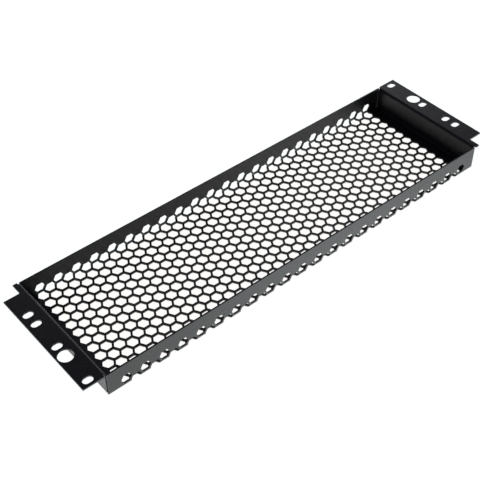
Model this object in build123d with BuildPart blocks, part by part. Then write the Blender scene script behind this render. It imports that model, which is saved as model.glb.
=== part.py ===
from build123d import *
import os
from math import ceil, floor, pi, sqrt

os.makedirs("parts", exist_ok=True)

# A perforated cover for a 19 inch rack, three units high, cut and folded from one steel sheet.
# It lies on its perforated floor with the open side up: X runs along the rack's width, and Z is
# the panel's depth. The origin is on the underside of the floor, in the middle of the panel.

# Sheet and folds
sheet = 1.5  # thickness of the steel
bend_radius = 1.0  # inside radius of every fold
neutral_layer = 0.4  # depth of the layer that keeps its length, as a share of the thickness
seam_gap = 0.4  # open seam between an end wall and each long wall
relief = 0.3  # slit beside a fold, where the sheet next to it is bent another way or not at all

# Fit in the rack
rack_unit = 44.45  # height of one rack unit
unit_count = 3  # units that the panel covers
height_allowance = 0.85  # how much lower the panel is than its units
ear_span = 482.0  # from the outer edge of one ear to that of the other
slot_span = 465.1  # between the slot rows of the two ears
first_hole = 6.35  # from the edge of a unit to its first rack hole
hole_step = 15.875  # from the first rack hole of a unit to its middle one

# Tray
tray_length = 439.2  # over the outer faces of the end walls
wall_setback = 0.6  # how far inside those faces the long walls end
depth = 26.0  # from the underside of the floor to the top of the ears
wall_drop = 0.6  # how far below the top of the ears the long walls end

# Slots, round hole and cut corner of each ear
slot_length = 9.6
slot_width = 6.7
access_diameter = 13.9
notch_reach = 15.9  # from the outer edge of the ear to the side of the cut
notch_depth = 12.0  # from the end of the ear to the floor of the cut
notch_round = 1.0  # radius in the inner corner of the cut

# Hexagons, punched in the flat sheet before it is folded
hex_pitch = 11.08  # between the middles of neighbouring hexagons
hex_flats = 9.1  # across the flats of one hexagon
end_border = 6.0  # least plain strip between the hexagons and the end folds
perforated_height = 15.0  # no hexagon reaches higher than this on the long walls
bay_columns = 8  # most columns of hexagons in one bay of the floor
cut_margin = 0.5  # how far a cutting shape stands out of the sheet
cut_steps = 3  # straight steps that a cutting shape takes around a fold

# Sizes that follow from the ones above
panel_width = unit_count * rack_unit - height_allowance
end_row = unit_count * rack_unit / 2 - first_hole
side_row = rack_unit / 2 + first_hole
fold_radius = bend_radius + sheet
floor_length = tray_length - 2 * fold_radius
floor_width = panel_width - 2 * fold_radius
end_fold_width = floor_width - 2 * relief
end_width = panel_width - 2 * (sheet + seam_gap)
wall_length = tray_length - 2 * wall_setback
wall_top = depth - wall_drop
ear_start = tray_length / 2 + bend_radius
ear_end = ear_span / 2
slot_row = slot_span / 2

# A point of the flat sheet comes to lie on the floor, in the fold, or at this height up the wall
fold_length = pi / 2 * (bend_radius + neutral_layer * sheet)
height_shift = fold_radius - floor_width / 2 - fold_length

hex_radius = hex_flats / sqrt(3)
column_step = hex_pitch * sqrt(3) / 2
row_step = hex_pitch / 2
last_column = floor((floor_length / 2 - end_border - hex_radius) / column_step)
last_row = floor((perforated_height - height_shift - hex_flats / 2) / row_step)
hexagons = [
    (column * column_step, row * row_step)
    for column in range(-last_column, last_column + 1)
    for row in range(-last_row, last_row + 1)
    if (column + row) % 2 == 0
]


def half_chord(offset):
    """Half the width of a hexagon at this distance from its middle line."""
    return hex_radius - abs(offset) / sqrt(3)


# One long side: the fold along the floor, and the wall that stands on it.
# A hexagon that crosses the fold is cut by a shape that is bent with the sheet, so that the
# sides of the hole stay square to the sheet all the way around.
fold_axis = (0, floor_width / 2, fold_radius)
fold_cuts = []
for row in range(last_row + 1):
    middle = row * row_step - floor_width / 2
    start = max(middle - hex_flats / 2, 0)
    end = min(middle + hex_flats / 2, fold_length)
    if start >= end:
        continue
    stations = {start + (end - start) * step / cut_steps for step in range(cut_steps + 1)}
    if start < middle < end:
        stations.add(middle)
    with BuildPart() as bent_hexagon:
        for station in sorted(stations):
            turn = 90 * station / fold_length
            radial = Plane(fold_axis, x_dir=(1, 0, 0), z_dir=(0, 1, 0)).rotated((turn, 0, 0))
            with BuildSketch(radial):
                with Locations((0, bend_radius + sheet / 2)):
                    Rectangle(2 * half_chord(station - middle), sheet + 2 * cut_margin)
        loft(ruled=True)
    places = [(x, 0, 0) for x, y in hexagons if y == row * row_step]
    fold_cuts.append((bent_hexagon.part, places))

with BuildPart() as long_side:
    with BuildSketch(Plane.YZ.offset(-wall_length / 2)):
        with BuildLine():
            CenterArc(fold_axis[1:], fold_radius, -90, 90)
            Line((panel_width / 2, fold_radius), (panel_width / 2 - sheet, fold_radius))
            CenterArc(fold_axis[1:], bend_radius, -90, 90)
            Line((floor_width / 2, sheet), (floor_width / 2, 0))
        make_face()
    extrude(amount=wall_length, clean=False)
    for bent_part, places in fold_cuts:
        with Locations(*places):
            add(bent_part, mode=Mode.SUBTRACT, clean=False)
    with BuildSketch(Plane.XZ.offset(-panel_width / 2)):
        with Locations((0, wall_top)):
            Rectangle(wall_length, wall_top - fold_radius, align=(Align.CENTER, Align.MAX))
        raised = [(x, y + height_shift) for x, y in hexagons]
        with Locations(*[(x, z) for x, z in raised if z + hex_flats / 2 > fold_radius]):
            RegularPolygon(hex_radius, 6, mode=Mode.SUBTRACT)
    extrude(amount=sheet, clean=False)

# The end at the left: the fold along the floor, the end wall, the fold at its top, and the ear
end_axis = (-floor_length / 2, fold_radius)
ear_axis = (-ear_start, depth - fold_radius)
with BuildPart() as end_side:
    with BuildSketch(Plane.XZ.offset(-end_fold_width / 2)):
        with BuildLine():
            CenterArc(end_axis, fold_radius, 180, 90)
            Line((-floor_length / 2, 0), (-floor_length / 2, sheet))
            CenterArc(end_axis, bend_radius, 180, 90)
            Line((-tray_length / 2 + sheet, fold_radius), (-tray_length / 2, fold_radius))
        make_face()
    extrude(amount=end_fold_width, clean=False)
    with BuildSketch(Plane.YZ.offset(-tray_length / 2)):
        with Locations((0, depth - fold_radius)):
            Rectangle(end_width, depth - 2 * fold_radius, align=(Align.CENTER, Align.MAX))
    extrude(amount=sheet, clean=False)
    with BuildSketch(Plane.XZ.offset(-end_width / 2)):
        with BuildLine():
            CenterArc(ear_axis, fold_radius, 0, 90)
            Line((-ear_start, depth), (-ear_start, depth - sheet))
            CenterArc(ear_axis, bend_radius, 0, 90)
            Line((-tray_length / 2, depth - fold_radius), (-tray_length / 2 + sheet, depth - fold_radius))
        make_face()
    extrude(amount=end_width, clean=False)
    with BuildSketch(Plane.XY.offset(depth - sheet)) as ear:
        with Locations((-ear_end, 0)):
            Rectangle(ear_end - ear_start, end_width, align=(Align.MIN, Align.CENTER))
            Rectangle(ear_end - ear_start - relief, panel_width, align=(Align.MIN, Align.CENTER))
        with Locations(*[(-slot_row, y) for y in (-end_row, -hole_step, hole_step, side_row)]):
            SlotOverall(slot_length, slot_width, mode=Mode.SUBTRACT)
        with Locations((-slot_row, -side_row)):
            Circle(access_diameter / 2, mode=Mode.SUBTRACT)
        with Locations((-ear_end, panel_width / 2)):
            Rectangle(notch_reach, notch_depth, align=(Align.MIN, Align.MAX), mode=Mode.SUBTRACT)
        notch_corner = (notch_reach - ear_end, panel_width / 2 - notch_depth, depth - sheet)
        fillet(ear.vertices().sort_by_distance(notch_corner)[0], notch_round)
    extrude(amount=sheet, clean=False)

# The floor, in bays that meet edge to edge
bay_count = ceil((2 * last_column + 1) / bay_columns)
bay_length = floor_length / bay_count
floor_bays = []
for bay in range(bay_count):
    bay_middle = (bay + 0.5) * bay_length - floor_length / 2
    in_bay = [(x, y) for x, y in hexagons if abs(x - bay_middle) < bay_length / 2 + hex_radius]
    with BuildPart() as floor_bay:
        with BuildSketch():
            with Locations((bay_middle, 0)):
                Rectangle(bay_length, floor_width)
            with Locations(*[(x, y) for x, y in in_bay if abs(y) < (floor_width + hex_flats) / 2]):
                RegularPolygon(hex_radius, 6, mode=Mode.SUBTRACT)
        extrude(amount=sheet, clean=False)
    floor_bays.append(floor_bay.part)

# The whole panel: the second long side mirrors the first, and the second end is the first one
# turned half a round, so that the ears' holes and cut corners lie crosswise
with BuildPart() as grille_panel:
    long_sides = [long_side.part, long_side.part.mirror(Plane.XZ)]
    end_sides = [end_side.part, end_side.part.rotate(Axis.Z, 180)]
    add([*floor_bays, *long_sides, *end_sides], clean=False)

grille_panel.part.label = "grille_panel"
export_step(grille_panel.part, "parts/grille_panel.step")
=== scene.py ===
from math import e, radians

import bpy
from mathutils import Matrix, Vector

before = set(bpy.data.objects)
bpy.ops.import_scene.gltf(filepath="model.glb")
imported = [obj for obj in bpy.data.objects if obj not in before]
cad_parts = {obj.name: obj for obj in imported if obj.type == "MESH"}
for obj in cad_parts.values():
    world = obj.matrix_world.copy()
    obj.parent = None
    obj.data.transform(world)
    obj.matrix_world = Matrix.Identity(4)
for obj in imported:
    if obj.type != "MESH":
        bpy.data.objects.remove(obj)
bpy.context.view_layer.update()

# The panel: one folded sheet of steel under a black powder coat, baked on after punching and
# folding, so that it also covers the walls of the holes. The coat is satin, with the fine pebbled
# skin that such powder leaves, and its gloss and depth of black drift a little over the sheet.
pebble_width = 0.0013  # of one pebble of the skin
grain_width = 0.0004  # of one grain on the pebbles
drift_width = 0.03  # of one patch of drift
skin_height = 0.0003  # of the highest pebbles
grain_share = 0.5  # height of the grains, as a share of the pebbles'
skin_strength = 0.5  # how much of the skin shows in the light
coat_index = 1.52  # refractive index of the coat
least_roughness = 0.24
drift_roughness = 0.07  # what the drift adds to it at most
pebble_roughness = 0.06  # what the pebbles add to it at most
deep_black = (0.020, 0.020, 0.022, 1.0)
pale_black = (0.025, 0.025, 0.026, 1.0)


class Socket:
    """A node's output. Sums on sockets add the nodes that work them out."""

    def __init__(self, tree, link):
        self.tree = tree
        self.link = link

    def node(self, kind, settings=(), inputs=(), output=0):
        """Adds a node of this kind, and gives one of its outputs."""
        made = self.tree.nodes.new(kind)
        for name, value in dict(settings).items():
            setattr(made, name, value)
        for name, value in dict(inputs).items():
            if isinstance(value, Socket):
                self.tree.links.new(value.link, made.inputs[name])
            else:
                made.inputs[name].default_value = value
        return Socket(self.tree, made.outputs[output])

    def maths(self, operation, first, second):
        """Adds a Math node, and gives its result."""
        return self.node("ShaderNodeMath", {"operation": operation}, {0: first, 1: second})

    def __add__(self, other):
        return self.maths("ADD", self, other)

    def __radd__(self, other):
        return self.maths("ADD", other, self)

    def __sub__(self, other):
        return self.maths("SUBTRACT", self, other)

    def __rsub__(self, other):
        return self.maths("SUBTRACT", other, self)

    def __mul__(self, other):
        return self.maths("MULTIPLY", self, other)

    def __rmul__(self, other):
        return self.maths("MULTIPLY", other, self)

    def __truediv__(self, other):
        return self.maths("DIVIDE", self, other)

    def __rpow__(self, other):
        return self.maths("POWER", other, self)

    def __neg__(self):
        return self.maths("MULTIPLY", self, -1.0)

    def __abs__(self):
        return self.maths("ABSOLUTE", self, 0.0)

    def blend(self, first, second):
        """A colour that turns from the first to the second while this value goes from 0 to 1."""
        first_colour, second_colour, mixed_colour = 6, 7, 2  # the Mix node's sockets for colours
        colours = {"Factor": self, first_colour: first, second_colour: second}
        return self.node("ShaderNodeMix", {"data_type": "RGBA"}, colours, output=mixed_colour)

    def feed(self, shader, name):
        """Links this output to a shader's input."""
        self.tree.links.new(self.link, shader.inputs[name])


def start(tree, kind, output):
    """The output of a new node that needs no inputs."""
    return Socket(tree, tree.nodes.new(kind).outputs[output])


def new_material(name):
    """A material, its shader, and the place on the piece, in metres, that its patterns follow."""
    material = bpy.data.materials.new(name)
    material.use_nodes = True
    tree = material.node_tree
    return material, tree.nodes["Principled BSDF"], start(tree, "ShaderNodeTexCoord", "Object")


powder_coat, coat, on_panel = new_material("powder_coat")


def noise(width, detail):
    """Soft random patches of this width on the panel, from 0 to 1."""
    pattern = {"Vector": on_panel, "Scale": 1 / width, "Detail": detail}
    return on_panel.node("ShaderNodeTexNoise", inputs=pattern)


pebbles = noise(pebble_width, detail=2.0)
grain = noise(grain_width, detail=1.0)
drift = noise(drift_width, detail=3.0)
coat.inputs["IOR"].default_value = coat_index
drift.blend(deep_black, pale_black).feed(coat, "Base Color")
roughness = least_roughness + drift_roughness * drift + pebble_roughness * pebbles
roughness.feed(coat, "Roughness")
relief = pebbles + grain_share * grain
skin = {"Strength": skin_strength, "Distance": skin_height, "Height": relief}
on_panel.node("ShaderNodeBump", inputs=skin).feed(coat, "Normal")

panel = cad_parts["grille_panel"]
for slot in panel.material_slots:
    slot.material = powder_coat

# The table: a glowing white sheet under the panel, pure white in the picture, and faintly warm
# through the holes. It lights the walls from below: their outer faces brightly, with a pool of
# light in front of the middle, and their inner faces less, with a pool right of the middle.
table_size = 8.0
table_gap = 0.0005  # between the table and the panel, so that their faces don't meet
fold_reach = 0.0025  # from the edge of the flat underside out to the walls' outer faces
outer_light = 1.1
outer_pool = 0.38  # what the pool in front of the panel adds
inner_light = 0.67
inner_pool = 0.62  # what the pool under the panel adds
shade_length = 0.045  # of the shade at each end of the underside
shade_depth = 0.8  # share of the light that the shade takes at most
white = 1.05  # bright enough to be pure white in the picture
# Painted light: the glow is tinted faintly warm under the panel and cool outside it.
warm_glow_under_panel = (0.944, 0.936, 0.920, 1.0)
cool_glow_outside = (0.955, 1.0, 1.0, 1.0)

bpy.ops.mesh.primitive_plane_add(size=table_size, location=(0.0, 0.0, -table_gap))
table = bpy.context.object
table.name = "table"
glow, surface, on_table = new_material("table_glow")
table.data.materials.append(glow)
surface.inputs["Base Color"].default_value = (0.0, 0.0, 0.0, 1.0)
surface.inputs["Specular IOR Level"].default_value = 0.0
surface.inputs["Emission Strength"].default_value = 1.0
along = on_table.node("ShaderNodeSeparateXYZ", inputs={"Vector": on_table}, output="X")
across = on_table.node("ShaderNodeSeparateXYZ", inputs={"Vector": on_table}, output="Y")


def rise(value, low, high):
    """0 where the value is lower than low, 1 where it is higher than high, and even between."""
    limits = {"Value": value, "From Min": low, "From Max": high}
    return value.node("ShaderNodeMapRange", inputs=limits)


def pool(middle, spread):
    """A soft pool of light, from 1 at its middle to nothing."""
    off = (along - middle) / spread
    return e ** -(off * off)


flat_height = 1e-5  # corners of the mesh below this height are those of the flat underside
underside = [corner.co for corner in panel.data.vertices if corner.co.z < flat_height]
half_length = max(corner.x for corner in underside)
half_width = max(corner.y for corner in underside)
beyond = on_table.maths("MAXIMUM", abs(along) - half_length, abs(across) - half_width)
outside = rise(beyond, 0.0, fold_reach)
end_shade = shade_depth * rise(abs(along), half_length - shade_length, half_length)
under = (inner_light + inner_pool * pool(middle=0.125, spread=0.15)) * (1.0 - end_shade)
in_front = outer_light + outer_pool * pool(middle=0.035, spread=0.16)
light = under + outside * (in_front - under)
seen = start(glow.node_tree, "ShaderNodeLightPath", "Is Camera Ray")
# Painted light: the glow's tint turns from warm under the panel to cool outside it.
glow_tint = outside.blend(warm_glow_under_panel, cool_glow_outside)
scaled = {0: glow_tint, "Scale": light + seen * (white - light)}
tinted_glow = on_table.node("ShaderNodeVectorMath", {"operation": "SCALE"}, scaled)
tinted_glow.feed(surface, "Emission Color")

# The studio: dim and faintly blue all round, with a white backdrop behind the panel on the right.
# The ears and the folds at their feet mirror the backdrop's top. Past the table all is white.
dim_air = (0.063, 0.063, 0.090, 1.0)
white_air = (1.0, 1.0, 1.0, 1.0)
backdrop_foot = Vector((1.2, 1.72, 0.0))
backdrop_width = 1.9
backdrop_height = 1.4
backdrop_power = 8.0

scene = bpy.context.scene
scene.view_settings.view_transform = "Standard"
world = bpy.data.worlds.new("studio")
world.use_nodes = True
scene.world = world
seen = start(world.node_tree, "ShaderNodeLightPath", "Is Camera Ray")
seen.blend(dim_air, white_air).feed(world.node_tree.nodes["Background"], "Color")

backdrop = bpy.data.lights.new("backdrop", "AREA")
backdrop.shape = "RECTANGLE"
backdrop.size = backdrop_width
backdrop.size_y = backdrop_height
backdrop.energy = backdrop_power
holder = bpy.data.objects.new("backdrop", backdrop)
holder.location = backdrop_foot + Vector((0.0, 0.0, backdrop_height / 2))
holder.rotation_euler = (-backdrop_foot).to_track_quat("-Z", "Y").to_euler()
scene.collection.objects.link(holder)

# The camera: above the near left corner, with a long lens.
camera = bpy.data.cameras.new("camera")
camera.sensor_width = 36.0
camera.lens = 75.0891
camera.clip_end = 20.0
view = bpy.data.objects.new("camera", camera)
view.location = (-0.44967, -0.51312, 0.64633)
view.rotation_euler = [radians(turn) for turn in (46.0105, 0.4698, -39.9173)]
scene.collection.objects.link(view)
scene.camera = view
